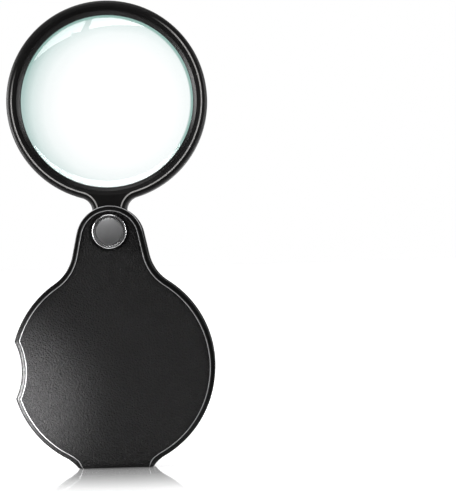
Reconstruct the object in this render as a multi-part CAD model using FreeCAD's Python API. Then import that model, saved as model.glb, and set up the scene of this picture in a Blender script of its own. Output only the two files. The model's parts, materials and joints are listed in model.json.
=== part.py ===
"""Folding pocket hand lens: a framed lens that turns on a rivet between the two
leaves of a folded leather cover. The lens stands up out of its cover.

Axes: X across the cover, Y through its thickness with the front towards -Y, and
Z up. The origin is the middle of the fold's underside. All sizes are in mm."""

import FreeCAD, Part
import math
import os

from FreeCAD import Vector

# ---------------------------------------------------------------- lens and frame
glass_r = 26.0            # a 50 mm lens with its rim hidden in the frame
glass_edge_t = 1.4        # thickness at the rim
glass_bulge = 2.2         # how far each face rises above the rim at the middle
lip_w = 0.9               # width of glass hidden behind the frame's lips
frame_r = 29.2            # outside of the ring
frame_half_t = 2.8        # half the ring's thickness
edge_round = 1.4          # rounding of the ring's and the tail's outer edges
crest_w = 0.4             # flat land just inside the rounded edge
slope_drop = 0.4          # how far the face falls from the crest to the inner ring
bevel_drop = 1.0          # how far the inner ring's face falls from there to the glass
ring_wall = 1.2           # width of the retaining ring
pivot_to_lens = 38.0      # rivet axis to lens axis
tail_half_w = 5.0         # half the tail's width, and the radius of its end
tail_fillet = 4.0         # hollow corner between the tail and the ring

# ---------------------------------------------------------------- cover, outline
cover_margin = 0.3        # the cover's round body is this much larger than the ring
body_lower = 1.3          # and its centre this far below that of the folded ring
head_r = 9.75             # round head of the cover
head_drop = 2.25          # its centre below the rivet
neck_splay = 12.0         # degrees that each side of the neck leans outwards
neck_fillet = 12.5        # hollow corner between the neck and the body
strap_half_w = 10.4       # half the width of the fold
strap_fillet = 7.0        # hollow corner between the body and the fold
notch_chord = 16.5        # thumb notch, corner to corner
notch_depth = 1.9         # its depth below the line between the corners

# ---------------------------------------------------------------- cover, layers
lining_t = 0.3
skin_t = 0.8              # leather
board_t = 0.4             # stiffening boards, which raise the leather over them
border_w = 1.4            # creased border along every edge, level with no board
board_margin = 0.7        # the boards end this far inside the creased border
bend_r = 1.4              # inside of each corner of the fold
hole_play = 0.05          # round the rivet's tube in leather, boards and lining

# ---------------------------------------------------------------- rivet, washers
tube_r = 2.0              # outside of the rivet's tube, on which the frame turns
post_r = 1.5              # post that is pressed into the tube
cap_r = 5.0
cap_wall = 0.3
cap_rise = 1.5            # the cap's crown above its seat
cap_rim_h = 0.8           # height of the rolled rim
flange_t = 0.35
dimple_play = 0.4         # the cap presses a seat in the leather this much wider
dimple_depth = 0.4
washer_r = 4.6
washer_t = 0.35

# ---------------------------------------------------------------- clearances
running_play = 0.05       # frame on the rivet's tube, all round
washer_play = 0.05        # between a washer and the tail
post_play = 0.02          # post in its tube, all round
glass_play = 0.05         # glass in its seat, all round
seat_play = 0.02          # glass to the lips that hold it
fold_play = 0.3           # folded ring to the lining at the fold
beyond = 5.0              # how far cutting shapes run past what they cut

# ---------------------------------------------------------------- worked out
aperture_r = glass_r - lip_w
body_r = frame_r + cover_margin
dimple_r = cap_r + dimple_play
half_gap = frame_half_t + washer_play + washer_t        # lining faces
lining_y = half_gap + lining_t                          # lining to leather
border_y = lining_y + skin_t                            # creased border's face
field_y = border_y + board_t                            # raised field's face
fold_in_z = lining_t + skin_t                           # top of the fold, inside
pivot_z = fold_in_z + fold_play + pivot_to_lens + frame_r
lens_z = pivot_z + pivot_to_lens
body_z = pivot_z - pivot_to_lens - body_lower
head_z = pivot_z - head_drop
bend_top_z = fold_in_z + bend_r                         # leaves are flat above this
seat_r = glass_r + glass_play
pocket_r = aperture_r + ring_wall
crest_r = frame_r - edge_round - crest_w
cap_seat_y = field_y - dimple_depth


def point(x, z, y=0.0):
    return Vector(x, y, z)


def line(start, end):
    return Part.LineSegment(start, end).toShape()


def arc(centre, start, end):
    """The shorter arc about a centre from start to end."""
    middle = (start + end) * 0.5 - centre
    middle.normalize()
    return Part.Arc(start, centre + middle * (start - centre).Length, end).toShape()


def mirrored(p):
    return Vector(-p.x, p.y, p.z)


def slab(face, y_from, y_to):
    """A flat face of the XZ plane, made solid between two depths."""
    lifted = face.copy()
    lifted.translate(Vector(0, y_from, 0))
    return lifted.extrude(Vector(0, y_to - y_from, 0))


def both_sides(face, y_near, y_far):
    """The same slab on the front leaf and on the back leaf."""
    return slab(face, -y_far, -y_near), slab(face, y_near, y_far)


def turned(profile, z):
    """A solid turned about the Y axis at height z from (radius, depth) points."""
    corners = [point(r, z, y) for r, y in profile]
    wire = Part.makePolygon(corners + corners[:1])
    return Part.Face(wire).revolve(point(0, z), Vector(0, 1, 0), 360)


def rod(radius, y_from, y_to):
    """A cylinder on the rivet's axis."""
    return Part.makeCylinder(radius, y_to - y_from, point(0, pivot_z, y_from), Vector(0, 1, 0))


def tube(outer, inner, y_from, y_to):
    return rod(outer, y_from, y_to).cut(rod(inner, y_from - beyond, y_to + beyond))


def dome_arc(at, edge_r, edge_y, rise):
    """Arc from a rim to the crown on the axis, part of a sphere centred on the axis."""
    sphere_r = (edge_r**2 + rise**2) / (2 * abs(rise))
    half_r = edge_r / 2
    fall = sphere_r - math.sqrt(sphere_r**2 - half_r**2)
    crown_y = edge_y + rise
    halfway = at(half_r, crown_y - math.copysign(fall, rise))
    return Part.Arc(at(edge_r, edge_y), halfway, at(0, crown_y)).toShape()


def flipped(shape):
    """The same piece for the other leaf, turned about the vertical line X = Y = 0."""
    other = shape.copy()
    other.rotate(Vector(0, 0, 0), Vector(0, 0, 1), 180)
    return other


# ---------------------------------------------------------------- cover outline
def cover_outline():
    """The cover seen from the front: head, neck, round body, fold and notch."""
    head, body = point(0, head_z), point(0, body_z)
    splay = math.radians(neck_splay)
    down = Vector(math.sin(splay), 0, -math.cos(splay))
    out = Vector(math.cos(splay), 0, math.sin(splay))
    neck_top = head + out * head_r

    # the neck's hollow corner touches the neck's straight side and the body
    reach = body_r + neck_fillet
    from_body = neck_top + out * neck_fillet - body
    along = from_body.dot(down)
    run = -along - math.sqrt(along**2 - from_body.dot(from_body) + reach**2)
    neck_end = neck_top + down * run
    neck_corner = neck_end + out * neck_fillet
    shoulder = body + (neck_corner - body) * (body_r / reach)

    # the fold's hollow corner touches the body and the strap's straight side
    reach = body_r + strap_fillet
    corner_x = strap_half_w + strap_fillet
    strap_corner = point(corner_x, body_z - math.sqrt(reach**2 - corner_x**2))
    hip = body + (strap_corner - body) * (body_r / reach)
    strap_top = point(strap_half_w, strap_corner.z)
    strap_end = point(strap_half_w, min(0.0, strap_corner.z) - beyond)
    crown = point(0, head_z + head_r)
    waist = point(body_r, body_z)

    right = [
        arc(head, crown, neck_top),
        line(neck_top, neck_end),
        arc(neck_corner, neck_end, shoulder),
        arc(body, shoulder, waist),
        arc(body, waist, hip),
        arc(strap_corner, hip, strap_top),
        line(strap_top, strap_end),
    ]
    bottom = line(strap_end, mirrored(strap_end))
    left = [
        arc(head, crown, mirrored(neck_top)),
        line(mirrored(neck_top), mirrored(neck_end)),
        arc(mirrored(neck_corner), mirrored(neck_end), mirrored(shoulder)),
        arc(body, mirrored(shoulder), mirrored(waist)),
        arc(body, mirrored(waist), mirrored(hip)),
        arc(mirrored(strap_corner), mirrored(hip), mirrored(strap_top)),
        line(mirrored(strap_top), mirrored(strap_end)),
    ]
    whole = Part.Face(Part.Wire(right + [bottom] + left[::-1]))

    # thumb notch in the left edge, level with the middle of the body
    half_chord = notch_chord / 2
    notch_r = (half_chord**2 + notch_depth**2) / (2 * notch_depth)
    deepest_x = -(math.sqrt(body_r**2 - half_chord**2) - notch_depth)
    notch = Part.Wire(Part.makeCircle(notch_r, point(deepest_x - notch_r, body_z), Vector(0, 1, 0)))
    return whole.cut(Part.Face(notch)).Faces[0]


def inset(face, distance):
    return face.makeOffset2D(-distance).Faces[0]


def above(face, z):
    """The part of a face that lies above height z."""
    wide, tall = 2 * (body_r + beyond), 2 * (pivot_z + beyond)
    window = Part.makePlane(tall, wide, point(-wide / 2, z), Vector(0, 1, 0), Vector(0, 0, 1))
    return face.common(window).Faces[0]


def channel(y, bottom_z):
    """A solid with a U section: flat sides at depth y, rounded into a flat bottom."""
    corner_y = half_gap - bend_r
    radius = y - corner_y
    top_z = pivot_z + head_r + beyond
    x = -(body_r + beyond)

    def at(side, z):
        return Vector(x, side, z)

    def corner(side):
        """Round corner from the flat side to the bottom, on one side of the middle."""
        sign = math.copysign(1.0, side)
        centre = at(sign * corner_y, bottom_z + radius)
        start, end = at(sign * y, bottom_z + radius), at(sign * corner_y, bottom_z)
        return start, arc(centre, start, end), end

    front_start, front_arc, front_end = corner(-1)
    back_start, back_arc, back_end = corner(1)
    edges = [
        line(at(-y, top_z), front_start),
        front_arc,
        line(front_end, back_end),
        back_arc,
        line(back_start, at(y, top_z)),
        line(at(y, top_z), at(-y, top_z)),
    ]
    return Part.Face(Part.Wire(edges)).extrude(Vector(-2 * x, 0, 0))


# ---------------------------------------------------------------- cover pieces
def make_cover():
    outline = cover_outline()
    blank = slab(outline, -(field_y + beyond), field_y + beyond)
    outside = channel(border_y, 0.0)
    between = channel(lining_y, skin_t)
    inside = channel(half_gap, fold_in_z)
    rivet_hole = rod(tube_r + hole_play, -(field_y + beyond), field_y + beyond)

    field = above(inset(outline, border_w), bend_top_z)
    board_face = inset(field, board_margin)
    raised = both_sides(field, lining_y, field_y)
    recesses = both_sides(board_face, lining_y, lining_y + board_t)
    dimples = (
        rod(dimple_r, -(field_y + beyond), -cap_seat_y),
        rod(dimple_r, cap_seat_y, field_y + beyond),
    )

    skin = blank.common(outside).cut(between).fuse(raised).removeSplitter()
    skin = skin.cut(recesses).cut(dimples).cut(rivet_hole)
    lining = blank.common(between).cut(inside).cut(rivet_hole)
    front, back = (board.cut(rivet_hole) for board in recesses)
    return {
        "cover_leather": skin,
        "cover_lining": lining,
        "front_board": front,
        "back_board": back,
    }


# ---------------------------------------------------------------- rivet pieces
def make_cap():
    """Front cap: a thin pressed dome whose rolled rim is closed round the flange."""
    wall_r = cap_r - cap_wall
    in_r = wall_r - cap_wall
    rim_y = cap_seat_y + cap_rim_h

    def at(r, y):
        return point(r, pivot_z, -y)

    shoulder_r = wall_r - cap_wall / 2
    dome_rise = cap_rise - cap_rim_h
    under_y = rim_y - cap_wall
    rim_middle = at(cap_r, (cap_seat_y + rim_y) / 2)
    edges = [
        line(at(in_r, cap_seat_y), at(wall_r, cap_seat_y)),
        Part.Arc(at(wall_r, cap_seat_y), rim_middle, at(shoulder_r, rim_y)).toShape(),
        dome_arc(at, shoulder_r, rim_y, dome_rise),
        line(at(0, rim_y + dome_rise), at(0, under_y + dome_rise)),
        dome_arc(at, in_r, under_y, dome_rise),
        line(at(in_r, under_y), at(in_r, cap_seat_y)),
    ]
    return Part.Face(Part.Wire(edges)).revolve(point(0, pivot_z), Vector(0, 1, 0), 360)


def make_rivet():
    flange_r = cap_r - 2 * cap_wall
    flange_y = cap_seat_y + flange_t
    front_cap = make_cap()
    bore = rod(post_r + post_play, -(flange_y + beyond), cap_seat_y + beyond)
    socket = rod(flange_r, -flange_y, -cap_seat_y).fuse(rod(tube_r, -cap_seat_y, cap_seat_y)).cut(bore)
    post = rod(flange_r, cap_seat_y, flange_y).fuse(rod(post_r, -flange_y, cap_seat_y))
    front_washer = tube(washer_r, tube_r + hole_play, -half_gap, -half_gap + washer_t)
    return {
        "rivet_front_cap": front_cap,
        "rivet_socket": socket,
        "rivet_back_cap": flipped(front_cap),
        "rivet_post": post.removeSplitter(),
        "front_washer": front_washer,
        "back_washer": flipped(front_washer),
    }


# ---------------------------------------------------------------- lens pieces
def frame_outline():
    """Ring and tail as one outline, with hollow corners between them."""
    lens, pivot = point(0, lens_z), point(0, pivot_z)
    corner_x = tail_half_w + tail_fillet
    reach = frame_r + tail_fillet
    corner = point(corner_x, lens_z - math.sqrt(reach**2 - corner_x**2))
    ring_end = lens + (corner - lens) * (frame_r / reach)
    tail_top = point(tail_half_w, corner.z)
    tail_side = point(tail_half_w, pivot_z)
    tail_end = point(0, pivot_z - tail_half_w)
    top = point(0, lens_z + frame_r)
    side = point(frame_r, lens_z)
    right = [
        arc(lens, top, side),
        arc(lens, side, ring_end),
        arc(corner, ring_end, tail_top),
        line(tail_top, tail_side),
        arc(pivot, tail_side, tail_end),
    ]
    left = [
        arc(lens, top, mirrored(side)),
        arc(lens, mirrored(side), mirrored(ring_end)),
        arc(mirrored(corner), mirrored(ring_end), mirrored(tail_top)),
        line(mirrored(tail_top), mirrored(tail_side)),
        arc(pivot, mirrored(tail_side), tail_end),
    ]
    return Part.Face(Part.Wire(right + left[::-1]))


def make_lens():
    edge_y = glass_edge_t / 2
    curve_r = (glass_r**2 + glass_bulge**2) / (2 * glass_bulge)
    bulge_there = math.sqrt(curve_r**2 - aperture_r**2) - (curve_r - glass_bulge)
    lip_y = edge_y + bulge_there + seat_play
    slope_y = frame_half_t - slope_drop
    bevel_y = slope_y - bevel_drop

    # glass: two shallow domes on a thin rim
    def at(r, y):
        return point(r, lens_z, y)

    crown_y = edge_y + glass_bulge
    glass_half = [
        dome_arc(at, glass_r, -edge_y, -glass_bulge),
        line(at(glass_r, -edge_y), at(glass_r, edge_y)),
        dome_arc(at, glass_r, edge_y, glass_bulge),
        line(at(0, crown_y), at(0, -crown_y)),
    ]
    glass = Part.Face(Part.Wire(glass_half)).revolve(point(0, lens_z), Vector(0, 1, 0), 360)

    # frame: rounded ring and tail, with a stepped seat open to the front
    solid = slab(frame_outline(), -frame_half_t, frame_half_t)
    rims = [e for e in solid.Edges if e.BoundBox.YLength < 1e-6]
    solid = solid.makeFillet(edge_round, rims)
    opening = turned(
        [
            (0, -frame_half_t - beyond),
            (crest_r, -frame_half_t - beyond),
            (crest_r, -frame_half_t),
            (pocket_r, -slope_y),
            (pocket_r, -lip_y),
            (seat_r, -lip_y),
            (seat_r, lip_y),
            (aperture_r, lip_y),
            (aperture_r, bevel_y),
            (pocket_r, slope_y),
            (crest_r, frame_half_t),
            (crest_r, frame_half_t + beyond),
            (0, frame_half_t + beyond),
        ],
        lens_z,
    )
    bore = rod(tube_r + running_play, -frame_half_t - beyond, frame_half_t + beyond)
    frame = solid.cut(opening).cut(bore)

    retaining_ring = turned(
        [
            (pocket_r, -lip_y),
            (aperture_r, -lip_y),
            (aperture_r, -bevel_y),
            (pocket_r, -slope_y),
        ],
        lens_z,
    )
    return {"lens_frame": frame, "retaining_ring": retaining_ring, "lens_glass": glass}


# ---------------------------------------------------------------- write the parts
pieces = {**make_cover(), **make_rivet(), **make_lens()}
os.makedirs("parts", exist_ok=True)
for name, shape in pieces.items():
    solids = shape.Solids
    whole = solids[0] if len(solids) == 1 else shape
    whole.exportStep(f"parts/{name}.step")
    box = whole.BoundBox
    size = f"{box.XLength:.1f} x {box.YLength:.1f} x {box.ZLength:.1f} mm"
    print(f"{name:16s} {len(solids)} solid, {whole.Volume:9.2f} mm3, valid {whole.isValid()}, about {size}")
print(f"rivet axis at z {pivot_z:.2f}, lens axis at z {lens_z:.2f}, body centre at z {body_z:.2f}")
print(f"outer faces at y {field_y:.2f}, pocket between y {-half_gap:.2f} and {half_gap:.2f}")
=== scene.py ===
# %% [markdown]
# # A folding pocket hand lens
#
# A round glass sits in a black moulded frame with a short tail. A chrome
# rivet holds the tail between the two leaves of a folded leather cover, and
# the lens turns on that rivet. This lesson dresses the jointed model: it
# makes the leather, the rivet caps and the snap ring anew, and gives every
# part a finish made of nodes.
#
# ## Load the jointed model
#
# The measured model comes first, because every piece below takes its place
# from it. Its parts must not move, so their boxes are only read. Starting
# from an empty file keeps stray default objects out of the picture.

# %% Load the model and measure it
import json
import math

import bmesh
import bpy
import numpy as np
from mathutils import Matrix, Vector
from mathutils.geometry import delaunay_2d_cdt

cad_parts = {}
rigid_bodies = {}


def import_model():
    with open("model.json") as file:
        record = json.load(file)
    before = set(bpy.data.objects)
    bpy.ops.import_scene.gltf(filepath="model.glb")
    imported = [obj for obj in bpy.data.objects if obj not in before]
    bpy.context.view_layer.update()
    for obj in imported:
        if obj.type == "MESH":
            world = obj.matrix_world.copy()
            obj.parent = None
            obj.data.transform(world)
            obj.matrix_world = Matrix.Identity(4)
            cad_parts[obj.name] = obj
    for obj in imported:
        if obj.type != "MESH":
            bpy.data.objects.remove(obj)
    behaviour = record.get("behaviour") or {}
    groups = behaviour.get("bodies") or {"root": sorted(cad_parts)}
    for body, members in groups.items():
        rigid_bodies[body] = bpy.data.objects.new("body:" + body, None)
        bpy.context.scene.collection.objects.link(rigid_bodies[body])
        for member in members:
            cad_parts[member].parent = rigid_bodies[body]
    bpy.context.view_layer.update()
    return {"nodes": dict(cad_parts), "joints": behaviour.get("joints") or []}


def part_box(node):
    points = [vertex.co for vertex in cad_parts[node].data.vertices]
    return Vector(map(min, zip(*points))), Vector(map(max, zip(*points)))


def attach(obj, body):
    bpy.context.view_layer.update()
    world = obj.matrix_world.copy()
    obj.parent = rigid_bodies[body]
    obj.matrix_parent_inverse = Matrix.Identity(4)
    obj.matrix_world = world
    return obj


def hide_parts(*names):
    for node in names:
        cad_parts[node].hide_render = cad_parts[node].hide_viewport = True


for leftover in list(bpy.data.objects):
    bpy.data.objects.remove(leftover)
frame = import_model()
nodes = frame["nodes"]
MM = 0.001


def put(name, data):
    """Makes an object and puts it in the scene."""
    made = bpy.data.objects.new(name, data)
    bpy.context.scene.collection.objects.link(made)
    return made


# %% Places that the other cells use, in millimetres
def box_of(node):
    """A node's lowest and highest corners, in mm."""
    return [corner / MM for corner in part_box(node)]


rivet_at = Vector(frame["joints"][0]["pos_m"]) / MM
frame_box = box_of("lens_frame")
glass_box = box_of("lens_glass")
ring_box = box_of("retaining_ring")
lining_box = box_of("cover_lining")
leather_box = box_of("cover_leather")
board_box = box_of("front_board")
cap_box = box_of("rivet_front_cap")
lens_z = (glass_box[0].z + glass_box[1].z) / 2
print(f"rivet axis at z {rivet_at.z:.1f}, lens axis at z {lens_z:.1f}")

# %% [markdown]
# ## Camera
#
# The lens stands on its fold and is seen straight from the front. A fairly
# long lens from under half a metre keeps the circle round, yet still shows
# a hair of the back leaf beside the front one. The camera stands a little
# right of the rivet, which leaves free space at that side, and it is rolled
# by a degree because the lens leans a little to the left.

# %% Make the camera
CAMERA_X = 34.1
CAMERA_Z = 63.5
CAMERA_AWAY = 400.0
VIEW_HEIGHT = 143.5
SENSOR = 36.0
ROLL = math.radians(1.57)

camera_data = bpy.data.cameras.new("camera")
camera_data.sensor_fit = "AUTO"
camera_data.sensor_width = SENSOR
camera_data.lens = SENSOR * CAMERA_AWAY / VIEW_HEIGHT
camera_data.clip_start = 0.01
camera = put("camera", camera_data)
camera.location = (CAMERA_X * MM, -CAMERA_AWAY * MM, CAMERA_Z * MM)
camera.rotation_euler = (math.pi / 2, ROLL, 0)
bpy.context.scene.camera = camera
print(f"camera lens {camera_data.lens:.0f} mm")

# %% [markdown]
# ## A short way to write materials
#
# A node material is arithmetic on sockets. Wiring it by hand hides the sum,
# so one small class wraps a socket and turns plus, minus and times into Math
# nodes. Every other node, in a finish or in the room, comes from one method,
# which sets the node's options first and its inputs after that.

# %% A socket that can be added and multiplied
class Signal:
    """One number in a material, which Python's operators can work on."""

    def __init__(self, tree, socket):
        self.tree = tree
        self.socket = socket

    def maths(self, operation, *others, swapped=False):
        """Adds a Math node. swapped puts this number last."""
        step = self.tree.nodes.new("ShaderNodeMath")
        step.operation = operation
        terms = [self, *others]
        if swapped:
            terms.reverse()
        for socket, term in zip(step.inputs, terms):
            if isinstance(term, Signal):
                self.tree.links.new(term.socket, socket)
            else:
                socket.default_value = term
        return Signal(self.tree, step.outputs[0])

    def __add__(self, other):
        return self.maths("ADD", other)

    def __sub__(self, other):
        return self.maths("SUBTRACT", other)

    def __mul__(self, other):
        return self.maths("MULTIPLY", other)

    def __truediv__(self, other):
        return self.maths("DIVIDE", other)

    def __rsub__(self, other):
        return self.maths("SUBTRACT", other, swapped=True)

    __radd__ = __add__
    __rmul__ = __mul__

    def band(self, middle, half_width, softness):
        """1 near the middle value and 0 away from it."""
        away = (self - middle).maths("ABSOLUTE")
        return away.smooth(half_width + softness, half_width)

    def smooth(self, low, high):
        """0 at low and 1 at high, with a soft start and end."""
        step = self.tree.nodes.new("ShaderNodeMapRange")
        step.interpolation_type = "SMOOTHSTEP"
        self.tree.links.new(self.socket, step.inputs["Value"])
        falling = low > high
        step.inputs["From Min"].default_value = min(low, high)
        step.inputs["From Max"].default_value = max(low, high)
        step.inputs["To Min"].default_value = 1.0 if falling else 0.0
        step.inputs["To Max"].default_value = 0.0 if falling else 1.0
        return Signal(self.tree, step.outputs["Result"])


# %% Wiring, with one method for every node, and a finish, which is a material
class Wiring:
    """A node tree whose nodes are all added in one way."""

    def __init__(self, tree):
        self.tree = tree

    def node(self, kind, options=None, output=0, **values):
        """Adds a node, sets its options, then links or sets its inputs."""
        made = self.tree.nodes.new(kind)
        for key, value in (options or {}).items():
            if key == "stops":
                ramp = made.color_ramp
                while len(ramp.elements) < len(value):
                    ramp.elements.new(0.5)
                for element, (place, colour) in zip(ramp.elements, value):
                    element.position = place
                    element.color = (*colour, 1.0)
            else:
                setattr(made, key, value)
        for key, value in values.items():
            name = key.replace("_", " ")
            index = int(name[5:]) if name.startswith("input") else name
            if isinstance(value, Signal):
                self.tree.links.new(value.socket, made.inputs[index])
            else:
                made.inputs[index].default_value = value
        return Signal(self.tree, made.outputs[output])

    def ray(self, kind):
        """1 for rays of a kind, such as Camera, Glossy or Transmission, and 0 for others."""
        return self.node("ShaderNodeLightPath", output=f"Is {kind} Ray")


class Finish(Wiring):
    """A node material. Constants go straight on the shader's own sockets."""

    def __init__(self, name, **constants):
        self.material = bpy.data.materials.new(name)
        self.material.use_nodes = True
        super().__init__(self.material.node_tree)
        self.shader = self.tree.nodes["Principled BSDF"]
        self.out = self.tree.nodes["Material Output"]
        for key, value in constants.items():
            self.shader.inputs[key.replace("_", " ")].default_value = value

    def places(self):
        """The point on the piece, and its x, y and z, in metres."""
        point = self.node("ShaderNodeTexCoord", output="Object")
        split = [self.node("ShaderNodeSeparateXYZ", output=axis, Vector=point) for axis in "XYZ"]
        return point, *split

    def noise(self, point, size_mm, detail=3.0, roughness=0.5):
        """Soft random patches about as large as size_mm."""
        return self.node(
            "ShaderNodeTexNoise", output="Fac", Vector=point,
            Scale=1 / (size_mm * MM), Detail=detail, Roughness=roughness,
        )

    def tint(self, fac, low, high):
        """A colour between two colours, each written out or made by another node."""
        low, high = [c if isinstance(c, Signal) else (*c, 1.0) for c in (low, high)]
        return self.node(
            "ShaderNodeMix", {"data_type": "RGBA"}, output=2, input0=fac, input6=low, input7=high
        )

    def feed(self, **links):
        """Links signals to the shader's own sockets."""
        for key, signal in links.items():
            self.tree.links.new(signal.socket, self.shader.inputs[key.replace("_", " ")])

    def bump(self, height, depth_mm, strength):
        """Tilts the surface as if height stood depth_mm proud."""
        return self.node(
            "ShaderNodeBump", output="Normal", Height=height, Distance=depth_mm * MM, Strength=strength
        )

    def surface(self):
        """The shader's result, for mixing with another shader."""
        return Signal(self.tree, self.shader.outputs[0])

    def finish_with(self, shader):
        """Makes another shader the material's surface."""
        self.tree.links.new(shader.socket, self.out.inputs["Surface"])

    def dress(self, mesh):
        """Puts this finish alone on a mesh."""
        mesh.materials.clear()
        mesh.materials.append(self.material)


print("material helpers are ready")

# %% [markdown]
# ## The leather's outline
#
# The cover is cut from one piece of leather: a round body with a small head
# for the rivet and a narrow strap, then the same again upside down. Folded
# at the strap, it gives two leaves. Drawing the outline again would risk a
# mismatch, so it is read from the lining of the jointed model, whose front
# face has exactly that edge.

# %% Read the front leaf's edge from the lining
ON_PLANE = 0.002


def leaf_edge(node, face_y):
    """The leaf's edge at face_y, as (x, z) points in mm from the strap's left foot to its right one."""
    mesh = node.data
    spots = [tuple(round(value / MM, 4) for value in v.co) for v in mesh.vertices]
    uses = {}
    for face in mesh.polygons:
        corners = [spots[i] for i in face.vertices]
        if all(abs(c[1] - face_y) < ON_PLANE for c in corners):
            flat = [(c[0], c[2]) for c in corners]
            for a, b in zip(flat, flat[1:] + flat[:1]):
                uses.setdefault(frozenset((a, b)), []).append((a, b))
    follow = {}
    for pair in uses.values():
        if len(pair) == 1:
            follow[pair[0][0]] = pair[0][1]
    loops = []
    while follow:
        first = next(iter(follow))
        loop, at = [first], follow.pop(first)
        while at != first:
            loop.append(at)
            at = follow.pop(at)
        loops.append(loop)
    outer = max(loops, key=lambda loop: max(p[1] for p in loop) - min(p[1] for p in loop))
    foot_z = min(p[1] for p in outer)
    left = min((p for p in outer if p[1] < foot_z + ON_PLANE), key=lambda p: p[0])
    start = outer.index(left)
    outer = outer[start:] + outer[:start]
    if outer[1][1] < foot_z + ON_PLANE:
        outer = [outer[0]] + outer[:0:-1]
    last = max(i for i, p in enumerate(outer) if p[1] > foot_z + ON_PLANE)
    return np.array(outer[:last + 2])


leaf = leaf_edge(nodes["cover_lining"], lining_box[0].y)
FOOT_Z = leaf[0, 1]
print(f"the leaf's edge has {len(leaf)} points and its strap starts at z {FOOT_Z:.2f}")

# %% [markdown]
# ## Folding a flat blank
#
# Leather is cut flat and folded afterwards, so the mesh is made the same
# way: flat first, in x and a length s along the blank, then bent round the
# fold by one small function. The bend is two quarter turns with a short flat
# bottom between them. A point also carries its height over the blank's
# under side, so one rule serves the skin, its thickness and the lining.

# %% The blank and the bend
UNDER_Y = -lining_box[0].y
BEND_R = FOOT_Z - lining_box[0].z
BEND_MIDDLE_Y = UNDER_Y - BEND_R
QUARTER = math.pi / 2 * BEND_R
BOTTOM = 2 * BEND_MIDDLE_Y
BEND = 2 * QUARTER + BOTTOM


def fold(x, s, height):
    """Flat blank to folded cover: s is z on the front leaf, and runs on down round the bend."""
    down = FOOT_Z - s
    first = np.clip(down / QUARTER, 0, 1) * math.pi / 2
    second = np.clip((down - QUARTER - BOTTOM) / QUARTER, 0, 1) * math.pi / 2
    turn = first + second
    along = np.clip(down - QUARTER, 0, BOTTOM)
    out_y = -np.cos(turn)
    out_z = -np.sin(turn)
    y = -BEND_MIDDLE_Y + along + (BEND_R + height) * out_y
    z = FOOT_Z + (BEND_R + height) * out_z
    z = z + np.clip(-down, 0, None) + np.clip(down - BEND, 0, None)
    return np.stack([x, y, z], axis=-1) * MM


bend_spots = sorted({
    (round(v.co.z / MM, 4), round(abs(v.co.x) / MM, 4)) for v in nodes["cover_leather"].data.vertices
    if v.co.z / MM < FOOT_Z + 0.001 and abs(v.co.x / MM) > 9
})


def strap_half_width(down):
    """Half the strap's width on the bend, at the height its outer skin has there."""
    turn = np.clip(down / QUARTER, 0, 1) - np.clip((down - QUARTER - BOTTOM) / QUARTER, 0, 1)
    z = FOOT_Z * (1 - np.sin(turn * math.pi / 2))
    return np.interp(z, [spot[0] for spot in bend_spots], [spot[1] for spot in bend_spots])


def blank_edge(step):
    """The whole blank's edge with points about step apart, and the two rivet holes' centres."""
    other = np.stack([leaf[::-1, 0], 2 * FOOT_Z - BEND - leaf[::-1, 1]], axis=1)
    down = np.linspace(0, BEND, 26)[1:-1]
    right = np.stack([strap_half_width(down), FOOT_Z - down], axis=1)
    left = right[::-1] * (-1, 1)
    corners = np.concatenate([leaf, right, other, left])
    after = np.roll(corners, -1, axis=0)
    spots = []
    for a, b in zip(corners, after):
        count = max(1, int(math.ceil(np.hypot(*(b - a)) / step)))
        spots += [a + (b - a) * k / count for k in range(count)]
    holes = [(rivet_at.x, rivet_at.z), (rivet_at.x, 2 * FOOT_Z - BEND - rivet_at.z)]
    return np.array(spots), np.array(holes)


def distance_to_edge(points, edge):
    """How far each point lies from the blank's edge, in mm."""
    a = edge
    b = np.roll(edge, -1, axis=0)
    run = b - a
    square = np.maximum((run ** 2).sum(1), 1e-12)
    nearest = np.empty(len(points))
    for start in range(0, len(points), 2000):
        p = points[start:start + 2000, None, :]
        t = np.clip(((p - a) * run).sum(2) / square, 0, 1)
        nearest[start:start + 2000] = np.sqrt((((a + run * t[..., None]) - p) ** 2).sum(2)).min(1)
    return nearest


def inside(points, edge):
    """Whether each point is inside the blank's edge."""
    a, b = edge, np.roll(edge, -1, axis=0)
    x, y = points[:, :1], points[:, 1:]
    spans = (a[:, 1] > y) != (b[:, 1] > y)
    rise = np.where(b[:, 1] == a[:, 1], 1e-9, b[:, 1] - a[:, 1])
    cross = x < (b[:, 0] - a[:, 0]) * (y - a[:, 1]) / rise + a[:, 0]
    return (spans & cross).sum(1) % 2 == 1


print(f"the bend is {BEND:.1f} mm long, on a radius of {BEND_R:.1f} mm")

# %% [markdown]
# ## Turning the blank into a solid sheet
#
# The raised line near the edge is only half a millimetre wide, so an even
# grid fine enough for it would be heavy. Instead, rows of points follow the
# edge at chosen distances, close together at the line and wide apart in the
# field, and one triangulation joins them all. The skin, the under side and
# the cut edge then close into one solid, whose distance from the edge is
# kept as an attribute for the finish to read.

# %% Mesh a folded sheet from its edge distances
EVEN_ROWS = 0.866
NOT_CROSSED = 0.985
HOLE_STEPS = 96
HOLE_CLEAR = 0.1
TINY = 1e-7
SHARP_DEGREES = 50


def from_hole(points, centre):
    """How far each point lies from a hole's centre, in mm."""
    return np.hypot(*(points - centre).T)


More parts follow.
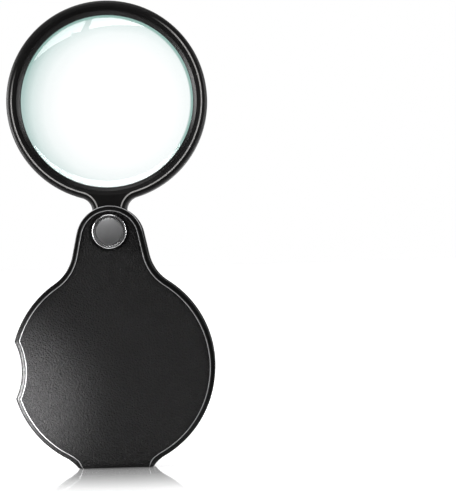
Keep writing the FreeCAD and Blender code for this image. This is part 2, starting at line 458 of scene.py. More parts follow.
def sheet_points(edge, holes, rows, field_step, hole_rows):
    """The blank's points: edge, rings round the holes, rows along the edge, then the even field."""
    ahead = np.roll(edge, -1, axis=0) - np.roll(edge, 1, axis=0)
    length = np.maximum(np.hypot(*ahead.T), TINY)
    inward = np.stack([ahead[:, 1], -ahead[:, 0]], axis=1) / length[:, None]
    if not inside(edge[:1] + inward[:1] * 0.05, edge)[0]:
        inward = -inward
    groups = []
    for row in rows:
        moved = edge + inward * row
        groups.append(moved[distance_to_edge(moved, edge) > row * NOT_CROSSED])
    low, high = edge.min(0), edge.max(0)
    xs = np.arange(low[0], high[0], field_step)
    ys = np.arange(low[1], high[1], field_step * EVEN_ROWS)
    grid = np.array([(x + (i % 2) * field_step / 2, y) for i, y in enumerate(ys) for x in xs])
    grid = grid[inside(grid, edge)]
    keep = distance_to_edge(grid, edge) > rows[-1] + field_step * 0.6
    for centre in holes:
        keep &= from_hole(grid, centre) > hole_rows[-1] + field_step * 0.5
    points = np.concatenate([*groups, grid[keep]])
    for centre in holes:
        points = points[from_hole(points, centre) > hole_rows[-1] + HOLE_CLEAR]
    around = np.arange(HOLE_STEPS) * 2 * math.pi / HOLE_STEPS
    circle = np.stack([np.cos(around), np.sin(around)], axis=1)
    rings = [centre + r * circle for centre in holes for r in hole_rows]
    return np.concatenate([edge, *rings, points])


def sheet_triangles(points, edge, holes, hole_radius):
    """The flat points that are used, and the triangles inside the edge and outside the holes."""
    borders = [(i, (i + 1) % len(edge)) for i in range(len(edge))]
    found = delaunay_2d_cdt([Vector(p) for p in points], borders, [], 0, TINY, False)
    flat = np.array([tuple(v) for v in found[0]])
    triangles = np.array(found[2])
    middles = flat[triangles].mean(1)
    kept = inside(middles, edge)
    for centre in holes:
        kept &= from_hole(middles, centre) > hole_radius * 0.998
    used, triangles = np.unique(triangles[kept], return_inverse=True)
    return flat[used], triangles.reshape(-1, 3)


def closed_faces(triangles, count):
    """Faces for the upper side, the under side, and the wall along every open edge between them."""
    sides = {}
    for t in triangles:
        for a, b in ((t[0], t[1]), (t[1], t[2]), (t[2], t[0])):
            if (b, a) in sides:
                del sides[(b, a)]
            else:
                sides[(a, b)] = True
    upper = [tuple(t) for t in triangles]
    under = [(t[2] + count, t[1] + count, t[0] + count) for t in triangles]
    walls = [(b, a, a + count, b + count) for a, b in sides]
    return [tuple(int(i) for i in face) for face in upper + under + walls]


def folded_sheet(name, edge_step, rows, field_step, hole_rows, top, under):
    """A closed, folded sheet.

    rows and hole_rows are distances in from the edge and out from a hole's centre. top and
    under give the heights over the blank from (x, s, edge distance, rivet distance).
    """
    edge, holes = blank_edge(edge_step)
    points = sheet_points(edge, holes, rows, field_step, hole_rows)
    flat, triangles = sheet_triangles(points, edge, holes, hole_rows[0])
    from_edge = distance_to_edge(flat, edge)
    from_rivet = np.min([from_hole(flat, centre) for centre in holes], axis=0)
    x, s = flat.T
    upper = fold(x, s, top(x, s, from_edge, from_rivet))
    lower = fold(x, s, under(x, s, from_edge, from_rivet))
    mesh = bpy.data.meshes.new(name)
    mesh.from_pydata(np.concatenate([upper, lower]).tolist(), [], closed_faces(triangles, len(flat)))
    kept_values = {"from_edge": np.tile(from_edge, 2), "skin": np.repeat([1.0, 0.0], len(flat))}
    for key, values in kept_values.items():
        mesh.attributes.new(key, "FLOAT", "POINT").data.foreach_set("value", values.astype(np.float32))
    return finish_mesh(mesh, SHARP_DEGREES)


def finish_mesh(mesh, sharp_degrees):
    """Faces out, smooth shading, and sharp edges only where the shape turns hard."""
    work = bmesh.new()
    work.from_mesh(mesh)
    bmesh.ops.remove_doubles(work, verts=work.verts, dist=TINY)
    bmesh.ops.recalc_face_normals(work, faces=work.faces)
    work.to_mesh(mesh)
    work.free()
    mesh.shade_smooth()
    mesh.set_sharp_from_angle(angle=math.radians(sharp_degrees))
    return mesh


def piece(name, mesh, finish, body, slot, *stands_for):
    """Puts a finished mesh in the scene on its body, in place of the plain nodes it stands for."""
    made = put(name, mesh)
    finish.dress(mesh)
    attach(made, body)
    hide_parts(*stands_for)
    print(f"{name}: {len(made.data.vertices)} points, {len(made.data.polygons)} faces")
    return made


# %% [markdown]
# ## The leather's finish
#
# The leather is thin, dyed nearly black and pressed with a fine pebble
# grain, under a thin satin top coat. Cell noise gives pebbles, soft noise
# breaks up their rows, and the two together feed the bump. A pale grey
# painted highlight runs along the raised line and along the top edge of the
# leaves, and the flat border is painted darker as shade for its outward
# slope. The cut edge is stained, a shade paler than the face. All of these
# read the distances that the mesh carries.

# %% Leather
PEBBLE = 0.55
LINE_AT = 1.45
BORDER_END = 1.32
leather = Finish("leather_black_pebble", Specular_IOR_Level=0.24)
point, _, _, pz = leather.places()
pebble = leather.node(
    "ShaderNodeTexVoronoi", {"feature": "SMOOTH_F1"}, output="Distance",
    Vector=point, Scale=1 / (PEBBLE * MM), Smoothness=0.3, Randomness=1.0,
)
fine = leather.noise(point, 0.42, detail=3.0, roughness=0.65)
broad = leather.noise(point, 14.0, detail=2.0)
from_edge = leather.node("ShaderNodeAttribute", {"attribute_name": "from_edge"}, output="Fac")
skin = leather.node("ShaderNodeAttribute", {"attribute_name": "skin"}, output="Fac")
# Painted highlights: a pale grey along the raised line and along the top edge of the leaves.
painted_top_highlight = from_edge.smooth(0.26, 0.10) * (pz / MM).smooth(66.0, 73.0)
painted_highlight = (from_edge.band(LINE_AT, 0.02, 0.11) + painted_top_highlight * 0.8) * skin
border = from_edge.smooth(BORDER_END, BORDER_END - 0.2) * skin
raw = (1 - skin).smooth(0.05, 0.6)
# Painted shade: the flat border takes the darker end of the dye.
patches_and_border_shade = (fine * 0.6 + broad * 0.4) * (1 - border * 0.8)
dye_and_border_shade = leather.tint(patches_and_border_shade, (0.0015, 0.0015, 0.0015), (0.008, 0.0075, 0.008))
face_colour_with_painted_light = leather.tint(painted_highlight, dye_and_border_shade, (0.55, 0.55, 0.56))
fibre = leather.tint(leather.noise(point, 0.5, detail=5.0), (0.010, 0.010, 0.010), (0.09, 0.088, 0.085))
both = leather.tint(raw, face_colour_with_painted_light, fibre)
gloss = 0.38 + fine * 0.14 + broad * 0.06 - border * 0.12 + raw * 0.3
grain = leather.bump(((1 - pebble) * 0.7 + fine * 0.9) * (1 - border * 0.85), 0.42, 1.0)
leather.feed(Base_Color=both, Roughness=gloss, Normal=grain)
print("leather finish made")

# %% [markdown]
# ## The leather cover
#
# The skin is glued over a thin board and pressed down round it, which leaves
# a flat border, a sharp raised line and a slightly swollen field. All of
# that depends only on the distance from the edge, so a short profile of
# heights says it all. Round the rivet the cap has pressed a shallow seat.
# The under side leaves room for the board.

# %% Heights of the skin, and the cover
SKIN = leather_box[0].y - lining_box[0].y
FIELD = -SKIN
BORDER = FIELD - (board_box[1].y - board_box[0].y)
cut_edge = [(0.0, 0.42), (0.12, 0.60), (0.3, 0.70)]
flat_border = [(0.6, 0.75), (1.05, 0.82), (1.2, 0.90), (1.3, 1.04)]
raised_line = [(1.38, 1.16), (1.45, 1.20), (1.52, 1.17), (1.6, 1.11)]
swollen_field = [(1.75, 1.07), (2.0, 1.08), (2.4, 1.11), (3.2, 1.14), (5.0, 1.18), (12.0, 1.24)]
profile_from_edge, profile_height = zip(*cut_edge, *flat_border, *raised_line, *swollen_field)
LINE_WIDTH = 0.18
LINE_HEIGHT = 0.15
SEAT_DEPTH = 0.40
SWELL = 0.02


def ease(value, low, high):
    """0 below low and 1 above high, with a soft start and end."""
    t = np.clip((value - low) / (high - low), 0, 1)
    return t * t * (3 - 2 * t)


def leaf_height(s):
    """The real height of a blank point: z on either leaf, and the fold's foot on the bend."""
    return np.where(s >= FOOT_Z, s, np.where(s < FOOT_Z - BEND, 2 * FOOT_Z - BEND - s, FOOT_Z))


def skin_top(x, s, from_edge, from_rivet):
    height = np.interp(from_edge, profile_from_edge, profile_height)
    swell = SWELL * np.sin(x * 0.21 + s * 0.13) * np.sin(s * 0.17 - x * 0.08) * ease(from_edge, 3, 9)
    seat = SEAT_DEPTH * (1 - ease(from_rivet, 5.0, 5.9))
    near_fold = ease(leaf_height(s), FOOT_Z + 0.2, FOOT_Z + 3.5)
    ridge = LINE_HEIGHT * np.exp(-((from_edge - LINE_AT) / LINE_WIDTH) ** 2)
    ridge = ridge * (1 - ease(FOOT_Z - s, 0, QUARTER))
    ridge = np.where(s < FOOT_Z - BEND / 2, 0, ridge)
    at_fold = np.minimum(height, BORDER) + ridge
    return at_fold + (height + swell - seat - at_fold) * near_fold


def skin_under(x, s, from_edge, from_rivet):
    over_board = ease(from_edge, 1.85, 2.05) * ease(leaf_height(s), 2.7, 3.1)
    return 0.005 + 0.415 * over_board


skin_rows = [0.12, 0.3, 0.6, 0.9, 1.08, 1.2, 1.3, 1.38, 1.45, 1.52, 1.6, 1.75, 1.88, 2.05, 2.4, 3.0]
LEATHER_HOLE = 4.55
seat_rows = [LEATHER_HOLE, 4.8, 5.0, 5.15, 5.3, 5.45, 5.6, 5.75, 5.9, 6.2]
cover_mesh = folded_sheet("leather_cover", 0.5, skin_rows, 0.95, seat_rows, skin_top, skin_under)
cover = piece("leather_cover", cover_mesh, leather, "cover", "leather", "cover_leather")

# %% [markdown]
# ## The lining
#
# A thin brushed cloth lines the pocket so that the glass isn't scratched. It
# is the same blank at a lower height, so the same function makes it, with
# fewer rows because nothing is pressed into it.

# %% Lining
lining = Finish("lining_brushed_cloth", Sheen_Weight=0.25, Sheen_Roughness=0.5, Specular_IOR_Level=0.3)
point = lining.places()[0]
nap = lining.noise(point, 0.25, detail=4.0)
threads = lining.node(
    "ShaderNodeTexWave", {"bands_direction": "Z"}, output="Fac",
    Vector=point, Scale=900.0, Distortion=2.0,
)
lining.feed(
    Base_Color=lining.tint(nap, (0.016, 0.016, 0.018), (0.045, 0.045, 0.048)),
    Roughness=0.8 + nap * 0.15,
    Normal=lining.bump(nap * 0.7 + threads * 0.3, 0.06, 0.7),
)
POCKET_HALF = 3.2
LINING_T = -lining_box[0].y - POCKET_HALF
GLUE_GAP = 0.015


def lining_top(x, s, from_edge, from_rivet):
    return np.full(len(x), -GLUE_GAP)


def lining_under(x, s, from_edge, from_rivet):
    return -LINING_T + 0.06 * (1 - ease(from_edge, 0, 0.4))


LINING_HOLE = 2.35
lining_mesh = folded_sheet(
    "cloth_lining", 0.7, [0.2, 0.5, 1.2], 1.6, [LINING_HOLE, 3.2], lining_top, lining_under
)
cloth = piece("cloth_lining", lining_mesh, lining, "cover", "lining", "cover_lining")

# %% [markdown]
# ## What the two sheets were cut from
#
# A maker wants to know how much leather and cloth to buy. Both sheets are cut
# from the same blank, whose flat edge is drawn here with points 0.5 mm apart.

# %% The flat edge of the blank
outline = blank_edge(0.5)[0]


# %% [markdown]
# ## Turned pieces from a profile
#
# The rivet caps and the snap ring are round, so each is a profile swept
# about an axis. A modifier could spin it, but a node tree makes the rule
# plain: a grid has one column for each step round and one row for each
# profile point, and every grid point looks up its row's radius and depth.
# The same tree then serves every turned piece.

# %% The lathe, as geometry nodes
def lathe_tree():
    """The node group: a profile's points, swept round an axis that is parallel to y."""
    tree = bpy.data.node_groups.new("lathe", "GeometryNodeTree")
    tree.interface.new_socket("Profile", in_out="INPUT", socket_type="NodeSocketObject")
    tree.interface.new_socket("Steps round", in_out="INPUT", socket_type="NodeSocketInt")
    tree.interface.new_socket("Axis height", in_out="INPUT", socket_type="NodeSocketFloat")
    tree.interface.new_socket("Finish", in_out="INPUT", socket_type="NodeSocketMaterial")
    tree.interface.new_socket("Turned piece", in_out="OUTPUT", socket_type="NodeSocketGeometry")

    def add(kind, links, **options):
        made = tree.nodes.new(kind)
        for key, value in options.items():
            setattr(made, key, value)
        for key, value in links.items():
            if isinstance(value, bpy.types.NodeSocket):
                tree.links.new(value, made.inputs[key])
            else:
                made.inputs[key].default_value = value
        return made

    def maths(operation, a, b=0.0):
        return add("ShaderNodeMath", {0: a, 1: b}, operation=operation).outputs[0]

    given = tree.nodes.new("NodeGroupInput").outputs
    profile = add("GeometryNodeObjectInfo", {"Object": given["Profile"]}).outputs["Geometry"]
    rows = add("GeometryNodeAttributeDomainSize", {"Geometry": profile}).outputs["Point Count"]
    columns = maths("ADD", given["Steps round"], 1.0)
    grid = add("GeometryNodeMeshGrid", {"Vertices X": columns, "Vertices Y": rows}).outputs["Mesh"]
    index = add("GeometryNodeInputIndex", {}).outputs[0]
    row = maths("FLOORED_MODULO", index, rows)
    column = maths("FLOOR", maths("DIVIDE", maths("ADD", index, 0.5), rows))
    place = add("GeometryNodeInputPosition", {}).outputs[0]
    looked_up = add(
        "GeometryNodeSampleIndex", {"Geometry": profile, "Index": row},
        data_type="FLOAT_VECTOR", domain="POINT",
    )
    value_socket = [s for s in looked_up.inputs if s.name == "Value" and s.enabled][0]
    tree.links.new(place, value_socket)
    found = [s for s in looked_up.outputs if s.enabled][0]
    parts = add("ShaderNodeSeparateXYZ", {0: found}).outputs
    angle = maths("DIVIDE", maths("MULTIPLY", column, 2 * math.pi), given["Steps round"])
    across = maths("MULTIPLY", parts["X"], maths("COSINE", angle))
    up = maths("ADD", maths("MULTIPLY", parts["X"], maths("SINE", angle)), given["Axis height"])
    spot = add("ShaderNodeCombineXYZ", {"X": across, "Y": parts["Y"], "Z": up}).outputs[0]
    moved = add("GeometryNodeSetPosition", {"Geometry": grid, "Position": spot}).outputs[0]
    welded = add("GeometryNodeMergeByDistance", {"Geometry": moved, "Distance": TINY}).outputs[0]
    whole = add("GeometryNodeRealizeInstances", {"Geometry": welded}).outputs[0]
    done = add("GeometryNodeSetMaterial", {"Geometry": whole, "Material": given["Finish"]}).outputs[0]
    tree.links.new(done, tree.nodes.new("NodeGroupOutput").inputs[0])
    return tree


LATHE = lathe_tree()


def turned(name, profile, axis_z, finish, steps, sharp_degrees):
    """A mesh swept about the line parallel to y at height axis_z, from (radius, y) points in mm."""
    line = bpy.data.meshes.new(name + "_profile")
    spots = [(r * MM, y * MM, 0) for r, y in profile]
    line.from_pydata(spots, [(i, i + 1) for i in range(len(spots) - 1)], [])
    template = put(name + "_profile", line)
    host = put(name + "_host", bpy.data.meshes.new(name + "_host"))
    modifier = host.modifiers.new("lathe", "NODES")
    modifier.node_group = LATHE
    sockets = {s.name: s.identifier for s in LATHE.interface.items_tree if s.in_out == "INPUT"}
    modifier[sockets["Profile"]] = template
    modifier[sockets["Steps round"]] = steps
    modifier[sockets["Axis height"]] = axis_z * MM
    modifier[sockets["Finish"]] = finish.material
    graph = bpy.context.evaluated_depsgraph_get()
    mesh = bpy.data.meshes.new_from_object(host.evaluated_get(graph))
    host.modifiers.remove(modifier)
    for made in (template, host):
        bpy.data.objects.remove(made)
    return finish_mesh(mesh, sharp_degrees)


def arc_points(middle, radius, start, end, count):
    """Points on an arc in (radius, y), with its angles in degrees."""
    turns = [math.radians(start + (end - start) * k / count) for k in range(count + 1)]
    return [(middle[0] + radius * math.cos(t), middle[1] + radius * math.sin(t)) for t in turns]


print("the lathe has", len(LATHE.nodes), "nodes")


# %% [markdown]
# ## The rivet caps
#
# Each cap is a thin plated disc: a satin dome inside a bright rolled rim.
# Seen straight on, its look comes from the hollow between the dome and the
# rim, which mirrors the dark side of the room. The back cap is the same
# profile with its depth turned round.

# %% Chrome and the two caps
chrome = Finish("chrome_plate", Metallic=1.0, Specular_IOR_Level=0.5)
point, px, _, pz = chrome.places()
dx = px - rivet_at.x * MM
dz = pz - rivet_at.z * MM
from_axis = (dx * dx + dz * dz).maths("SQRT") / MM
brushed = chrome.noise(point, 0.12, detail=4.0)
haze = chrome.noise(point, 2.2, detail=2.0)
satin = from_axis.smooth(3.9, 3.5)
chrome.feed(
    Base_Color=chrome.tint(haze, (0.70, 0.70, 0.71), (0.80, 0.80, 0.81)),
    Roughness=0.20 + satin * 0.18 + haze * 0.05,
    Normal=chrome.bump(brushed * satin, 0.003, 0.3),
)
CROWN = -cap_box[0].y
SEAT = -cap_box[1].y


DOME_HALF = 3.6
DOME_DROP = 0.36
DOME_STEPS = 14


def cap_profile(side):
    """The cap's section from the middle of its dome round the rim to its inside; side is -1 in front."""
    shares = [k / DOME_STEPS for k in range(DOME_STEPS + 1)]
    dome = [(DOME_HALF * share, CROWN - DOME_DROP * share ** 2) for share in shares]
    hollow = [(3.74, CROWN - 0.43), (3.88, CROWN - 0.485), (4.02, CROWN - 0.50), (4.16, CROWN - 0.475)]
    rim = arc_points((4.52, CROWN - 0.83), 0.48, 125, -60, 14)
    tucked = [(4.55, SEAT + 0.02), (4.42, SEAT + 0.02), (4.42, SEAT + 0.40)]
    inside_dome = [(3.9, CROWN - 0.86), (2.0, CROWN - 0.46), (0.0, CROWN - 0.34)]
    return [(r, side * y) for r, y in dome + hollow + rim + tucked + inside_dome]


for name, side, node in (("rivet_cap_front", -1, "rivet_front_cap"), ("rivet_cap_back", 1, "rivet_back_cap")):
    mesh = turned(name, cap_profile(side), rivet_at.z, chrome, 128, 60)
    piece(name, mesh, chrome, "cover", "cap_chrome", node)

# %% [markdown]
# ## The snap ring
#
# A slim ring presses in from the front and holds the glass. It fills the
# pocket in the frame, and its softened front corners leave the fine joint
# line that shows round the inside of the frame. It is turned on the same
# lathe, with the lens axis as its centre.

# %% Moulded plastic for the ring, and the ring
def moulded(name, pebble_mm, shine, highlight_at=None):
    """Black moulded plastic with a faint, fine texture from the mould, and a pale painted highlight where the
    given mask says.
    """
    plastic = Finish(name, Specular_IOR_Level=0.26)
    point, px, py, pz = plastic.places()
    texture = plastic.noise(point, pebble_mm, detail=4.0)
    patches = plastic.noise(point, 6.0, detail=2.0)
    colour = plastic.tint(patches, (0.005, 0.0045, 0.0045), (0.009, 0.0085, 0.0085))
    rough = shine + texture * 0.10 + patches * 0.05
    if highlight_at:
        # Painted highlight: a pale grey mixed into the colour where the given mask says.
        painted_highlight = highlight_at(px / MM, py / MM, pz / MM) * (0.75 + texture * 0.5)
        colour = plastic.tint(painted_highlight, colour, (0.5, 0.49, 0.48))
        rough = rough - painted_highlight * 0.08
    plastic.feed(Base_Color=colour, Roughness=rough, Normal=plastic.bump(texture, 0.02, 0.35))
    return plastic


ring_plastic = moulded("ring_moulded_gloss", 0.5, 0.26)
RING_OUT = ring_box[1].x
RING_IN = glass_box[1].x - 0.9
RING_FRONT = ring_box[0].y
RING_BACK = ring_box[1].y
RING_STEP = 1.0
ring_profile = [
    (RING_OUT - 0.01, RING_BACK),
    (RING_OUT - 0.01, RING_FRONT + 0.14),
    (RING_OUT - 0.04, RING_FRONT + 0.05),
    (RING_OUT - 0.12, RING_FRONT + 0.04),
    (RING_OUT - 0.22, RING_FRONT + 0.12),
    (RING_IN + 0.14, RING_FRONT + RING_STEP - 0.12),
    (RING_IN + 0.04, RING_FRONT + RING_STEP - 0.01),
    (RING_IN, RING_FRONT + RING_STEP + 0.1),
    (RING_IN, RING_BACK - 0.06),
    (RING_IN + 0.06, RING_BACK),
    (RING_OUT - 0.01, RING_BACK),
]
ring_mesh = turned("snap_ring", ring_profile, lens_z, ring_plastic, 256, 40)
piece("snap_ring", ring_mesh, ring_plastic, "lens", "ring", "retaining_ring")

# %% [markdown]
# ## The frame
#
# The frame already has the right shape, so it only gets a finish. A pale
# painted highlight runs along its crest, on the front and off the top. The
# crest keeps a fixed distance from the outline, so plain geometry finds it.

# %% Frame
TAIL_HALF = 5.0
TAIL_HOLLOW = 4.0
CREST_IN = 1.62
FRAME_R = frame_box[1].x
hollow_x = TAIL_HALF + TAIL_HOLLOW
hollow_down = math.sqrt((FRAME_R + TAIL_HOLLOW) ** 2 - hollow_x ** 2)


def painted_crest_highlight(x, y, z):
    """Where the painted highlight goes: 1 along the crest, a fixed way inside the outline of the ring, hollow
    corner and tail, on the front and off the top.
    """
    out = x.maths("ABSOLUTE")
    down = lens_z - z
    ring_depth = FRAME_R - (x * x + down * down).maths("SQRT")
    to_hollow = out - hollow_x
    below = down - hollow_down
    hollow_depth = (to_hollow * to_hollow + below * below).maths("SQRT") - TAIL_HOLLOW
    past_hollow = below.maths("GREATER_THAN", 0.0)
    at_hollow = (down * (hollow_x / hollow_down) - out).maths("GREATER_THAN", 0.0) * (1 - past_hollow)
    on_ring = 1 - at_hollow - past_hollow
    depth = at_hollow * hollow_depth + past_hollow * (TAIL_HALF - out) + on_ring * ring_depth
    # The painted highlight stays off the top of the ring.
    lower_part = (down + x * 0.35).smooth(-20.0, -8.0)
    front_only = (0 - y).smooth(2.3, 2.7)
    return depth.band(CREST_IN, 0.10, 0.16) * lower_part * front_only


frame_plastic = moulded("frame_moulded_black", 0.6, 0.34, painted_crest_highlight)
frame_plastic.dress(nodes["lens_frame"].data)
print("the crest runs", CREST_IN, "mm inside the frame's outline")

# %% [markdown]
# ## The glass
#
# The lens is ordinary greenish crown glass, turned on the same lathe from the
# arc of its two domes. Towards the rim it bends in the darker sides of the
# room, so a clear shader gets a painted teal refraction in its colour: a ramp
# that deepens with the distance from a point a little right of and below the
# middle, and a painted darker line just inside the rim over its upper and right
# part. It needs no heavy volume.

# %% Glass
GLASS_IOR = 1.52
glass = Finish("glass_crown_clear", Transmission_Weight=1.0, Roughness=0.0, IOR=GLASS_IOR)
point, px, _, pz = glass.places()
# Painted refraction: teal that deepens out from a point 3 mm right of and 1.5 mm below the lens axis.
RIM_SHADE_X = 3.0
RIM_SHADE_Z = lens_z - 1.5
RIM_SHADE_R = 27.5
dx = px - RIM_SHADE_X * MM
dz = pz - RIM_SHADE_Z * MM
off_centre = (dx * dx + dz * dz).maths("SQRT") / MM
streaks = glass.noise(point, 12.0, detail=1.0)
painted_refraction = glass.node(
    "ShaderNodeValToRGB",
    {"stops": [
        (0.0, (1.0, 1.0, 1.0)), (0.60, (0.985, 0.995, 0.995)), (0.77, (0.89, 0.94, 0.935)),
        (0.90, (0.70, 0.80, 0.785)), (1.0, (0.44, 0.58, 0.555)),
    ]},
    output="Color", Fac=off_centre / RIM_SHADE_R + streaks * 0.03 - 0.015,
)
true_z = pz - lens_z * MM
from_axis = (px * px + true_z * true_z).maths("SQRT") / MM
# Painted shade: a darker teal line just inside the rim, over its upper and right part.
painted_rim_shade = from_axis.smooth(24.0, 24.6) * ((true_z + px * 0.6) / MM).smooth(-16.0, 4.0)
glass.feed(Base_Color=glass.tint(painted_rim_shade, painted_refraction, (0.30, 0.47, 0.43)))
GLASS_R = glass_box[1].x - 0.01
GLASS_CROWN = glass_box[1].y
GLASS_EDGE = 0.7
GLASS_RISE = GLASS_CROWN - GLASS_EDGE
DOME_R = (GLASS_R ** 2 + GLASS_RISE ** 2) / (2 * GLASS_RISE)
RADIUS_STEPS = 40


def dome_depth(r):
    """The front or back face's distance from the middle plane at radius r."""
    return GLASS_CROWN - DOME_R + math.sqrt(DOME_R ** 2 - r ** 2)


glass_radii = [GLASS_R * k / RADIUS_STEPS for k in range(RADIUS_STEPS + 1)]
dome = [(r, dome_depth(r)) for r in glass_radii]
glass_profile = [(r, -y) for r, y in dome] + dome[::-1]
glass_mesh = turned("glass_lens", glass_profile, lens_z, glass, 192, 40)
piece("glass_lens", glass_mesh, glass, "lens", "glass", "lens_glass")

# %% [markdown]
# ## Boards, washers and the rivet's inside
#
# These hide between the leaves and show only from the side. Their measured
# shapes are right as they are, so each gets a plain finish: pulpy grey card,
# cloudy nylon and drawn steel.

# %% Boards, washers and the rivet's inside
def mottled(name, size_mm, detail, low, high, depth_mm, strength, **constants):
    """A finish whose colour and surface follow one soft noise, and that noise."""
    made = Finish(name, **constants)
    spots = made.noise(made.places()[0], size_mm, detail=detail)
    made.feed(Base_Color=made.tint(spots, low, high), Normal=made.bump(spots, depth_mm, strength))
    return made, spots


board, _ = mottled(
    "board_grey_card", 0.8, 5.0, (0.28, 0.24, 0.19), (0.42, 0.37, 0.30), 0.05, 0.5, Roughness=0.9
)
nylon, _ = mottled(
    "washer_nylon", 1.5, 3.0, (0.70, 0.69, 0.64), (0.78, 0.77, 0.73), 0.01, 0.3,
    Roughness=0.45, Subsurface_Weight=0.1,
)
steel, drawn = mottled(
    "rivet_steel_plain", 0.2, 4.0, (0.48, 0.48, 0.49), (0.60, 0.60, 0.61), 0.005, 0.4, Metallic=1.0
)
steel.feed(Roughness=0.28 + drawn * 0.12)
for name, finish in (
    ("front_board", board), ("back_board", board), ("front_washer", nylon), ("back_washer", nylon),
    ("rivet_socket", steel), ("rivet_post", steel),
):
    finish.dress(nodes[name].data)
print("finishes set on", len([n for n in nodes.values() if not n.hide_render]), "kept nodes")

# %% [markdown]
# ## Floor and backdrop
#
# The lens stands on a white, polished studio table. Straight paint would
# either look grey or hide the soft shadow, so the table is white paint with
# a little light of its own for the camera only. Polish shows the foot of
# the cover as a pale mirror image that soon fades, so the gloss is a mask
# that falls off with the distance from the fold. It stops under the cover,
# because behind it there is no mirror image to show.

# %% Studio objects
def studio_object(name, spots, faces, finish, hidden_from=()):
    """A thing in the studio that isn't part of the lens, and that some kinds of ray don't meet."""
    mesh = bpy.data.meshes.new(name)
    mesh.from_pydata(spots, [], faces)
    finish.dress(mesh)
    made = put(name, mesh)
    for ray in hidden_from:
        setattr(made, "visible_" + ray, False)


def corners_flat(low, high, z):
    """Four corners of a level rectangle, from millimetres."""
    places = [(low[0], low[1]), (high[0], low[1]), (high[0], high[1]), (low[0], high[1])]
    return [(x * MM, y * MM, z * MM) for x, y in places]


def glowing(name, strength):
    """A finish that only gives off white light."""
    glow = Finish(name)
    glow.finish_with(glow.node("ShaderNodeEmission", Color=(1, 1, 1, 1), Strength=strength))
    return glow


# %% Table
TABLE_REACH = 4000
POLISH_REACH = 64.0
POLISH = 0.82
table = Finish("table_white", Base_Color=(0.9, 0.9, 0.9, 1), Roughness=0.6)
_, px, py, _ = table.places()
seen = table.ray("Camera").maths("MAXIMUM", table.ray("Transmission")).maths("MAXIMUM", table.ray("Glossy"))
near = (px * px + py * py).maths("SQRT") / MM
white = table.node("ShaderNodeEmission", Color=(1, 1, 1, 1), Strength=0.62 + near.smooth(70.0, 300.0) * 0.2)
lit = table.node("ShaderNodeAddShader", input0=table.surface(), input1=white)
painted = table.node("ShaderNodeMixShader", input0=seen, input1=table.surface(), input2=lit)
polish = table.node("ShaderNodeBsdfAnisotropic", Color=(1, 1, 1, 1), Roughness=0.02)
away = (px * px * 0.25 + py * py).maths("SQRT") / MM
fade = away.smooth(POLISH_REACH, 2.0) * (py / MM).smooth(4.5, -2.0)
table.finish_with(table.node("ShaderNodeMixShader", input0=fade * POLISH, input1=painted, input2=polish))
table_corners = corners_flat((-TABLE_REACH, -TABLE_REACH), (TABLE_REACH, TABLE_REACH), 0)
studio_object("table", table_corners, [(0, 1, 2, 3)], table)
print("table made")

# %% [markdown]
# ## Studio light
#
# Black leather, black plastic, chrome and glass show what they mirror more
# than their own colour. So the room matters: white behind, dim in front,
# and a few soft boxes placed where each rounded edge can pick one up. Light
# that came through glass sees a slightly brighter room, which makes up for
# what the two faces of the glass turn back.

# %% The room
world = bpy.data.worlds.new("room")
bpy.context.scene.world = world
world.use_nodes = True
world.node_tree.nodes.clear()
room = Wiring(world.node_tree)
path_camera = room.ray("Camera")
path_through = room.ray("Transmission")
path_mirror = room.ray("Glossy")
direction = room.node("ShaderNodeTexCoord", output="Generated")
ahead = room.node("ShaderNodeSeparateXYZ", output="Y", Vector=direction)
FRONT_MIRRORED = 0.03
THROUGH_GLASS = 1.07
AMBIENT = 0.32
behind_white = ahead.smooth(0.0, 0.25)
mirror_room = FRONT_MIRRORED + behind_white * (1 - FRONT_MIRRORED)
white_view = path_camera.maths("MAXIMUM", path_through * THROUGH_GLASS)
other_rays = 1 - path_camera.maths("MAXIMUM", path_through)
shown = white_view + other_rays * (path_mirror * mirror_room + (1 - path_mirror) * AMBIENT)
background = room.node("ShaderNodeBackground", Color=(1, 1, 1, 1), Strength=shown)
room.tree.links.new(background.socket, room.tree.nodes.new("ShaderNodeOutputWorld").inputs["Surface"])
print("the room is white behind and dim in front")

# %% [markdown]
# ## Lamps and cards
#
# Soft boxes stand left, right and above, out of sight. One small spot in
# front rakes the lower left of the leather, where its grain should sparkle.
# Two cards are seen only by shiny surfaces: a black one just over the front
# of the table hides its white from them, and a pale one that faces the lens
# gives the chrome something to mirror.

# %% Lamps and cards
def lamp(name, kind, place, aim, watts):
    """A lamp at a place, turned to face its aim, in millimetres."""
    data = bpy.data.lights.new(name, kind)
    data.energy = watts
    made = put(name, data)
    made.visible_camera = False
    made.location = Vector(place) * MM
    made.rotation_euler = (Vector(aim) - Vector(place)).to_track_quat("-Z", "Y").to_euler()
    return data


def soft_box(name, place, aim, width, height, watts):
    """A rectangular area lamp."""
    data = lamp(name, "AREA", place, aim, watts)
    data.shape = "RECTANGLE"
    data.size = width * MM
    data.size_y = height * MM


soft_box("box_left", (-330, -30, 70), aim=(0, 0, 70), width=120, height=320, watts=2.0)
soft_box("box_right", (380, -50, 110), aim=(0, 0, 70), width=25, height=360, watts=0.85)
soft_box("box_top", (-80, -160, 640), aim=(0, 0, 60), width=520, height=260, watts=1.1)
rake = lamp("rake_low_left", "SPOT", (-40, -52, 18), aim=(-34, -5, 19), watts=0.95)
rake.spot_size = math.radians(66)
rake.spot_blend = 1.0
rake.shadow_soft_size = 6 * MM

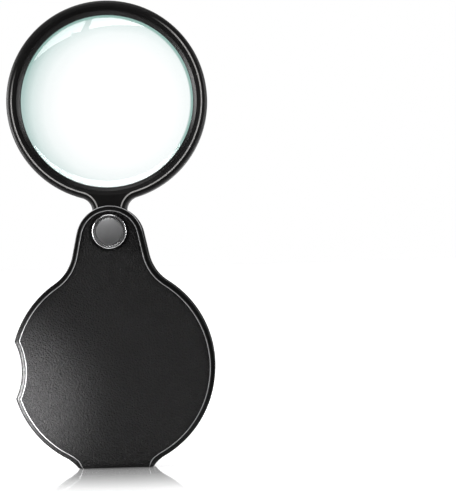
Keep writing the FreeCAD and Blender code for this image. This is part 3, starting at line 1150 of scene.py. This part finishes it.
ONLY_MIRRORED = ("camera", "diffuse", "transmission", "shadow")
black = Finish(
    "card_front_paint", Base_Color=(0.01, 0.01, 0.01, 1), Roughness=1.0, Specular_IOR_Level=0.0
)
front_corners = corners_flat((-3900, -3900), (3900, -48), 1)
studio_object("card_front", front_corners, [(0, 1, 2, 3)], black, ONLY_MIRRORED)
facing_places = [(-120, -60), (420, -60), (420, 320), (-120, 320)]
facing_corners = [(x * MM, -430 * MM, z * MM) for x, z in facing_places]
facing_glow = glowing("card_facing_glow", 0.17)
studio_object("card_facing", facing_corners, [(0, 1, 2, 3)], facing_glow, ONLY_MIRRORED)

# %% [markdown]
# ## Windows in the glass
#
# A lens face mirrors the studio's two windows as bright curved patches near
# its top, and its back face sends up a bright crescent at the foot. Where
# they appear depends on the camera, so each panel is built backwards: a ray
# goes from the camera to the place on the glass, bounces off its curved
# face, and the panel's corner is put on that ray. The panels light only
# what is mirrored or seen through glass, and nobody sees them directly.

# %% Window panels, traced off the front of the glass
camera_spot = Vector((CAMERA_X, -CAMERA_AWAY, CAMERA_Z))
dome_centre = Vector((0, DOME_R - GLASS_CROWN, lens_z))
WINDOW_AWAY = 520.0


def front_spot(radius, degrees):
    """A point on the front of the glass."""
    angle = math.radians(degrees)
    return Vector((radius * math.cos(angle), -dome_depth(radius), lens_z + radius * math.sin(angle)))


def mirrored_spot(radius, degrees):
    """Where a point must be for the front of the glass to mirror it at this radius and angle."""
    on_glass = front_spot(radius, degrees)
    normal = (on_glass - dome_centre).normalized()
    ray = (on_glass - camera_spot).normalized()
    return (on_glass + ray.reflect(normal) * WINDOW_AWAY) * MM


def bent(ray, normal, ratio):
    """A ray after it crosses a glass face, by Snell's law."""
    cosine = -ray.dot(normal)
    root = math.sqrt(1 - ratio ** 2 * (1 - cosine ** 2))
    return (ray * ratio + normal * (ratio * cosine - root)).normalized()


def meets(start, ray, centre, far):
    """Where a ray meets a dome's sphere, at the near or the far crossing."""
    back = start - centre
    half = back.dot(ray)
    root = math.sqrt(half ** 2 - back.length_squared + DOME_R ** 2)
    return start + ray * (-half + (root if far else -root))


def inner_spot(radius, degrees):
    """The same for light that enters the glass, bounces off its back face and leaves by the front."""
    back_centre = Vector((0, GLASS_CROWN - DOME_R, lens_z))
    entry = front_spot(radius, degrees)
    ray = bent((entry - camera_spot).normalized(), (entry - dome_centre).normalized(), 1 / GLASS_IOR)
    turn_at = meets(entry, ray, back_centre, True)
    ray = ray.reflect((turn_at - back_centre).normalized())
    leave = meets(turn_at, ray, dome_centre, True)
    ray = bent(ray, -(leave - dome_centre).normalized(), GLASS_IOR)
    return (leave + ray * WINDOW_AWAY) * MM


PANEL_STEPS = 24


def window(name, outer, inner, outer_ends, inner_ends, strength, front=True):
    """A glowing panel, mirrored between two curves on the glass that run between angles in degrees."""
    spot = mirrored_spot if front else inner_spot
    spots = []
    for k in range(PANEL_STEPS + 1):
        high = outer_ends[0] + (outer_ends[1] - outer_ends[0]) * k / PANEL_STEPS
        low = inner_ends[0] + (inner_ends[1] - inner_ends[0]) * k / PANEL_STEPS
        spots += [tuple(spot(outer, high)), tuple(spot(inner(low), low))]
    faces = [(2 * k, 2 * k + 2, 2 * k + 3, 2 * k + 1) for k in range(PANEL_STEPS)]
    hidden_from = ("camera", "diffuse", "shadow", "transmission" if front else "glossy")
    studio_object(name, spots, faces, glowing(name + "_glow", strength), hidden_from)


WINDOW_TOP = 24.3
WINDOW_SHIFT = 15.5
WINDOW_CURVE = 36.9
WINDOW_TILT = 105.5
CRESCENT_FOOT = 24.9
CRESCENT_DEPTH = 1.7


def sill(degrees):
    """The radius of the windows' lower edge: a flat arc that meets the rim at both ends."""
    turn = math.radians(degrees - WINDOW_TILT)
    across = WINDOW_SHIFT * math.sin(turn)
    return min(WINDOW_TOP, math.sqrt(WINDOW_CURVE ** 2 - across ** 2) - WINDOW_SHIFT * math.cos(turn))


def low_sill(degrees):
    """The inner edge of the crescent that the back face shows at the foot of the glass."""
    return CRESCENT_FOOT - CRESCENT_DEPTH * math.cos(math.radians(degrees + 90)) ** 2


window("window_below", CRESCENT_FOOT + 0.05, low_sill, (-150, -32), (-150, -32), 16.0, front=False)
window("window_left", WINDOW_TOP, sill, (151, 102.5), (151, 109), 7.0)
window("window_right", WINDOW_TOP, sill, (98.6, 60), (102.5, 60), 7.0)

# %% [markdown]
# ## Finish
#
# The standard view shows colours as they are written.

# %% View settings and the end
bpy.context.scene.view_settings.view_transform = "Standard"
